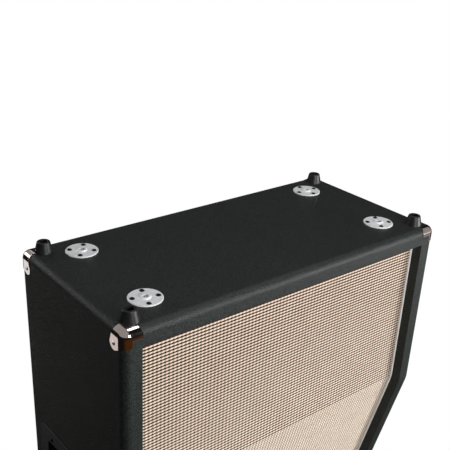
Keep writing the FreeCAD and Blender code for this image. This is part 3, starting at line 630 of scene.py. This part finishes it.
@dataclass(frozen=True)
class YarnGround:
    """The back of the woven grille cloth: brown threads, with paler ones that cross between the cords, whose
    colour is partly their own and partly painted shade where they lie down between the cords.
    """

    name: str = "woven_brown_ground"
    ground: str = "#1f0a03"
    # The crossing colour is the paler thread darkened as painted shade, for where it lies under and between the
    # cords.
    crossing: str = "#5c3420"
    across_mm: float = 8.37
    crossing_share: float = 0.42
    crossing_softness: float = 0.1
    # The real fibres are a tenth of this, and are drawn coarser so that they show.
    fibre_mm: float = 0.6
    fibre_share: float = 0.3
    thread_mm: float = 0.4
    thread_strength: float = 0.6
    roughness: float = 0.9
    specular: float = 0.02

    def build(self) -> bpy.types.Material:
        """Makes the material on the cloth's own map, whose unit is the metre.

        Returns:
            The material.
        """
        material, tree = new_tree(self.name)
        flat = add_node(tree, "ShaderNodeTexCoord").outputs["UV"]
        across = add_node(tree, "ShaderNodeSeparateXYZ", links={0: flat}).outputs["X"]
        turns = add_node(tree, "ShaderNodeMath",
                         {"operation": "MULTIPLY", 1: per_metre(self.across_mm) * math.tau},
                         {0: across}).outputs[0]
        wave = add_node(tree, "ShaderNodeMath", {"operation": "COSINE"}, {0: turns}).outputs[0]
        level = add_node(tree, "ShaderNodeMapRange", {"From Min": -1.0}, {"Value": wave}).outputs["Result"]
        fibre = add_node(tree, "ShaderNodeTexNoise", {"Scale": per_metre(self.fibre_mm), "Detail": 3.0},
                         {"Vector": flat})
        fray = add_node(tree, "ShaderNodeMath",
                        {"operation": "MULTIPLY_ADD", 1: self.fibre_share, 2: -self.fibre_share / 2},
                        {0: fibre.outputs["Fac"]}).outputs[0]
        mask = add_node(tree, "ShaderNodeMath", {"operation": "ADD"}, {0: level, 1: fray}).outputs[0]
        edge = 1.0 - self.crossing_share
        stops = ((edge - self.crossing_softness, self.ground), (edge + self.crossing_softness, self.crossing))
        colour = add_node(tree, "ShaderNodeValToRGB", {"stops": stops}, {"Fac": mask}).outputs["Color"]
        bump = add_node(tree, "ShaderNodeBump",
                        {"Strength": self.thread_strength, "Distance": self.thread_mm * MM},
                        {"Height": mask}).outputs["Normal"]
        shader = add_node(tree, "ShaderNodeBsdfPrincipled",
                          {"Roughness": self.roughness, "Specular IOR Level": self.specular},
                          {"Base Color": colour, "Normal": bump}).outputs[0]
        add_node(tree, "ShaderNodeOutputMaterial", links={"Surface": shader})
        return material


@dataclass(frozen=True)
class TwistedYarn:
    """The cream cords of the grille cloth: soft twisted yarn, whose ply shows as slanted strands, with painted
    shade in the grooves between the strands and a painted highlight on their crowns.
    """

    name: str = "twisted_cream_yarn"
    # The shade colour is painted shade in the grooves between the strands, and the light colour is a painted
    # highlight on their crowns.
    shade: str = "#aa937c"
    light: str = "#faf0e2"
    stops: Pair = (0.2, 0.9)
    strands: float = 1.0
    slant: float = -0.6
    # The real fibres are a tenth of this, and are drawn coarser so that they show.
    fibre_mm: float = 0.5
    fibre_share: float = 0.5
    contrast: float = 0.5
    lift: float = 0.08
    patch_mm: float = 30.0
    patch_share: float = 0.14
    ply_mm: float = 0.3
    ply_strength: float = 0.5
    roughness: float = 0.85
    specular: float = 0.15
    sheen: float = 0.15
    sheen_roughness: float = 0.5

    def build(self) -> bpy.types.Material:
        """Makes the material on the cords' own map, which runs from zero to one over each repeat.

        Returns:
            The material.
        """
        material, tree = new_tree(self.name)
        coords = add_node(tree, "ShaderNodeTexCoord").outputs
        parts = add_node(tree, "ShaderNodeSeparateXYZ", links={0: coords["UV"]}).outputs
        # A slanted wave across each repeat paints shade and highlight over the strands of the twist; fibre and
        # patch noise add random tone on top.
        slanted = add_node(tree, "ShaderNodeMath", {"operation": "MULTIPLY_ADD", 1: self.slant},
                           {0: parts["Y"], 2: parts["X"]}).outputs[0]
        turns = add_node(tree, "ShaderNodeMath", {"operation": "MULTIPLY", 1: self.strands * math.tau},
                         {0: slanted}).outputs[0]
        wave = add_node(tree, "ShaderNodeMath", {"operation": "SINE"}, {0: turns}).outputs[0]
        painted_twist_shading = add_node(tree, "ShaderNodeMapRange", {"From Min": -1.0}, {"Value": wave}).outputs["Result"]
        fibre = add_node(tree, "ShaderNodeTexNoise", {"Scale": per_metre(self.fibre_mm), "Detail": 4.0},
                         {"Vector": coords["Object"]})
        patch = add_node(tree, "ShaderNodeTexNoise", {"Scale": per_metre(self.patch_mm), "Detail": 2.0},
                         {"Vector": coords["Object"]})
        twist = add_node(tree, "ShaderNodeMath", {"operation": "MULTIPLY_ADD", 1: self.fibre_share},
                         {0: fibre.outputs["Fac"], 2: painted_twist_shading}).outputs[0]
        soft = add_node(tree, "ShaderNodeMath", {"operation": "MULTIPLY_ADD", 1: self.contrast, 2: self.lift},
                        {0: twist}).outputs[0]
        mask = add_node(tree, "ShaderNodeMath", {"operation": "MULTIPLY_ADD", 1: self.patch_share},
                        {0: patch.outputs["Fac"], 2: soft}).outputs[0]
        stops = tuple(zip(self.stops, (self.shade, self.light)))
        colour = add_node(tree, "ShaderNodeValToRGB", {"stops": stops}, {"Fac": mask}).outputs["Color"]
        bump = add_node(tree, "ShaderNodeBump", {"Strength": self.ply_strength, "Distance": self.ply_mm * MM},
                        {"Height": mask}).outputs["Normal"]
        shader = add_node(tree, "ShaderNodeBsdfPrincipled",
                          {"Roughness": self.roughness, "Specular IOR Level": self.specular,
                           "Sheen Weight": self.sheen, "Sheen Roughness": self.sheen_roughness},
                          {"Base Color": colour, "Normal": bump}).outputs[0]
        add_node(tree, "ShaderNodeOutputMaterial", links={"Surface": shader})
        return material


@dataclass
class Grille:
    """The woven cloth over the baffles: a flat ground, and rows of raised cords across it."""

    thickness_mm: float = 0.8
    border_mm: float = 36.0
    row_mm: float = 6.43
    repeat_mm: float = 8.37
    cord_width_mm: float = 2.9
    cord_height_mm: float = 1.5
    crown_spread: float = 1.5
    dip_share: float = 0.3
    bend_mm: float = 5.0
    bend_segments: int = 4
    ground_cuts: int = 3
    first_row_mm: float = 1.3
    merge_mm: float = 0.01

    def __post_init__(self) -> None:
        """Reads the cloth's place from the frame."""
        axis = next(j["axis"] for j in frame["joints"] if j["child"] == "cone_upper_left")
        self.slope = math.atan2(axis[2], -axis[1])
        self.low, self.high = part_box("grille_cloth")
        self.top_y = self.high.y - self.thickness_mm * MM / math.cos(self.slope)
        self.break_z = self.high.z - (self.top_y - self.low.y) / math.tan(self.slope)
        body_low, body_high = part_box("vinyl_covering")
        self.view_low = body_low.z + self.border_mm * MM
        self.view_high = body_high.z - self.border_mm * MM
        self.view_half = body_high.x - self.border_mm * MM

    def build_ground(self, material: bpy.types.Material) -> bpy.types.Object:
        """Makes the flat sheet: a plane drawn up to the break, extruded along the slant, with a soft bend.

        Args:
            material: The ground's material.

        Returns:
            The sheet.
        """
        clear_selection()
        width = self.high.x - self.low.x
        upright = self.break_z - self.low.z
        slanted = (self.high.z - self.break_z) / math.cos(self.slope)
        middle = (0.0, self.low.y, (self.low.z + self.break_z) / 2)
        bpy.ops.mesh.primitive_plane_add(size=1.0, location=middle, rotation=(QUARTER_TURN, 0.0, 0.0))
        piece = bpy.context.object
        piece.scale = (width, upright, 1.0)
        bpy.ops.object.transform_apply(location=True, rotation=True, scale=True)
        bpy.ops.object.mode_set(mode="EDIT")
        run = (0.0, slanted * math.sin(self.slope), slanted * math.cos(self.slope))
        pick(lambda place: place.z > self.break_z - MM)
        bpy.ops.mesh.extrude_region_move(TRANSFORM_OT_translate={"value": run})
        pick(lambda place: abs(place.z - self.break_z) < MM)
        bpy.ops.mesh.bevel(offset=self.bend_mm * MM, segments=self.bend_segments)
        bpy.ops.mesh.select_all(action="SELECT")
        bpy.ops.mesh.subdivide(number_cuts=self.ground_cuts)
        bpy.ops.object.mode_set(mode="OBJECT")
        self.lay_flat(piece)
        apply_modifier("SOLIDIFY", thickness=self.thickness_mm * MM, offset=-1.0)
        settle(piece, "grille_ground", material)
        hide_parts("grille_cloth")
        return piece

    def lay_flat(self, piece: bpy.types.Object) -> None:
        """Maps a sheet by its distance across and along the cloth, in metres.

        Args:
            piece: The sheet.
        """
        layer = piece.data.uv_layers.active or piece.data.uv_layers.new(name="flat")
        for loop in piece.data.loops:
            place = piece.data.vertices[loop.vertex_index].co
            over = max(place.z - self.break_z, 0.0)
            run = min(place.z, self.break_z) - self.view_low + over / math.cos(self.slope)
            layer.data[loop.index].uv = (place.x, run)

    def build_rows(self, count: int, first: float, lean: float) -> bpy.types.Object:
        """Makes rows of cords from one repeat, shaped and then arrayed across and up.

        Args:
            count: How many rows.
            first: Distance of the first row from the turning line, in metres.
            lean: How far the rows lean back, in radians.

        Returns:
            The rows, as one mesh.
        """
        clear_selection()
        repeat = self.repeat_mm * MM
        width = self.cord_width_mm * MM
        rise = self.cord_height_mm * MM
        columns = int(2 * self.view_half / repeat)
        bpy.ops.mesh.primitive_grid_add(x_subdivisions=3, y_subdivisions=3, size=1.0)
        piece = bpy.context.object
        bpy.ops.object.mode_set(mode="EDIT")
        bpy.ops.transform.resize(value=(repeat, width, 1.0))
        # The two inner lines of points become the crown, and its ends dip where the cord goes under a thread.
        pick(lambda place: abs(place.y) < width / 3)
        bpy.ops.transform.translate(value=(0.0, 0.0, rise))
        bpy.ops.transform.resize(value=(1.0, self.crown_spread, 1.0), center_override=(0.0, 0.0, rise))
        pick(lambda place: abs(place.y) < width / 3 and abs(place.x) > repeat / 3)
        bpy.ops.transform.translate(value=(0.0, 0.0, rise * -self.dip_share))
        bpy.ops.object.mode_set(mode="OBJECT")
        apply_modifier("ARRAY", count=columns, use_relative_offset=False, use_constant_offset=True,
                       constant_offset_displace=(repeat, 0.0, 0.0), use_merge_vertices=True,
                       merge_threshold=self.merge_mm * MM)
        apply_modifier("ARRAY", count=count, use_relative_offset=False, use_constant_offset=True,
                       constant_offset_displace=(0.0, self.row_mm * MM, 0.0))
        bpy.ops.object.shade_smooth()
        piece.data.transform(Matrix.Translation((-repeat * (columns - 1) / 2, first, 0.0)))
        turning_line = Matrix.Translation((0.0, self.low.y, self.break_z))
        piece.matrix_world = turning_line @ Matrix.Rotation(QUARTER_TURN - lean, 4, "X")
        return piece

    def build(self, ground: bpy.types.Material, yarn: bpy.types.Material) -> None:
        """Args:
            ground: Material of the flat sheet.
            yarn: Material of the cords.
        """
        sheet = self.build_ground(ground)
        pitch = self.row_mm * MM
        upright = self.break_z - self.view_low
        slanted = (self.view_high - self.break_z) / math.cos(self.slope)
        low_count = int(upright / pitch)
        above = self.first_row_mm * MM
        below = pitch - above
        high_count = int((slanted - above) / pitch)
        low_rows = self.build_rows(low_count, -below - (low_count - 1) * pitch, 0.0)
        high_rows = self.build_rows(high_count, above, self.slope)
        clear_selection()
        low_rows.select_set(True)
        high_rows.select_set(True)
        bpy.context.view_layer.objects.active = low_rows
        bpy.ops.object.join()
        cords = settle(low_rows, "grille_cords", yarn)


@dataclass
class Piping:
    """The white bead that runs round the cloth, in the corner between the cloth and the border."""

    grille: Grille
    corner_mm: float = 7.0
    corner_segments: int = 5
    bend_mm: float = 16.0
    bend_segments: int = 4
    round_resolution: int = 3

    def build(self, material: bpy.types.Material) -> bpy.types.Object:
        """Makes the bead: an outline on a plane, with soft corners, turned to a round cord.

        Args:
            material: The bead's material.

        Returns:
            The bead.
        """
        low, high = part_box("grille_piping")
        cloth = self.grille
        radius = (cloth.low.y - low.y) / 2
        half = high.x - radius
        line_y = cloth.low.y - radius
        turn_z = cloth.break_z + radius * math.tan(cloth.slope / 2)
        start_z = low.z + radius
        rise = high.z - radius - turn_z
        run = (0.0, rise * math.tan(cloth.slope), rise)
        clear_selection()
        bpy.ops.mesh.primitive_plane_add(size=1.0, location=(0.0, line_y, (start_z + turn_z) / 2),
                                         rotation=(QUARTER_TURN, 0.0, 0.0))
        piece = bpy.context.object
        piece.scale = (2 * half, turn_z - start_z, 1.0)
        bpy.ops.object.transform_apply(location=True, rotation=True, scale=True)
        bpy.ops.object.mode_set(mode="EDIT")
        pick(lambda place: place.z > turn_z - MM)
        bpy.ops.mesh.extrude_region_move(TRANSFORM_OT_translate={"value": run})
        bpy.ops.mesh.select_all(action="SELECT")
        bpy.ops.mesh.delete(type="ONLY_FACE")
        pick(lambda place: abs(place.z - turn_z) < MM)
        bpy.ops.mesh.delete(type="EDGE")
        pick(lambda place: abs(place.z - turn_z) < MM)
        bpy.ops.mesh.bevel(offset=self.bend_mm * MM, segments=self.bend_segments, affect="VERTICES")
        pick(lambda place: abs(place.z - turn_z) > self.bend_mm * 2 * MM)
        bpy.ops.mesh.bevel(offset=self.corner_mm * MM, segments=self.corner_segments, affect="VERTICES")
        bpy.ops.object.mode_set(mode="OBJECT")
        bpy.ops.object.convert(target="CURVE")
        piece = bpy.context.object
        piece.data.bevel_depth = radius
        piece.data.bevel_resolution = self.round_resolution
        bpy.ops.object.convert(target="MESH")
        bpy.ops.object.shade_smooth()
        piece = settle(bpy.context.object, "grille_bead", material)
        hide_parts("grille_piping")
        return piece


def main() -> None:
    """Builds and dresses every piece in order."""
    scene = bpy.context.scene
    scene.view_settings.view_transform = "Standard"
    made = {finish: finish.value.build() for finish in Finish}
    dress_nodes(made)
    Studio().build()
    grille = Grille()
    grille.build(YarnGround().build(), TwistedYarn().build())
    Piping(grille).build(made[Finish.PIPING])


if __name__ == "__main__":
    main()
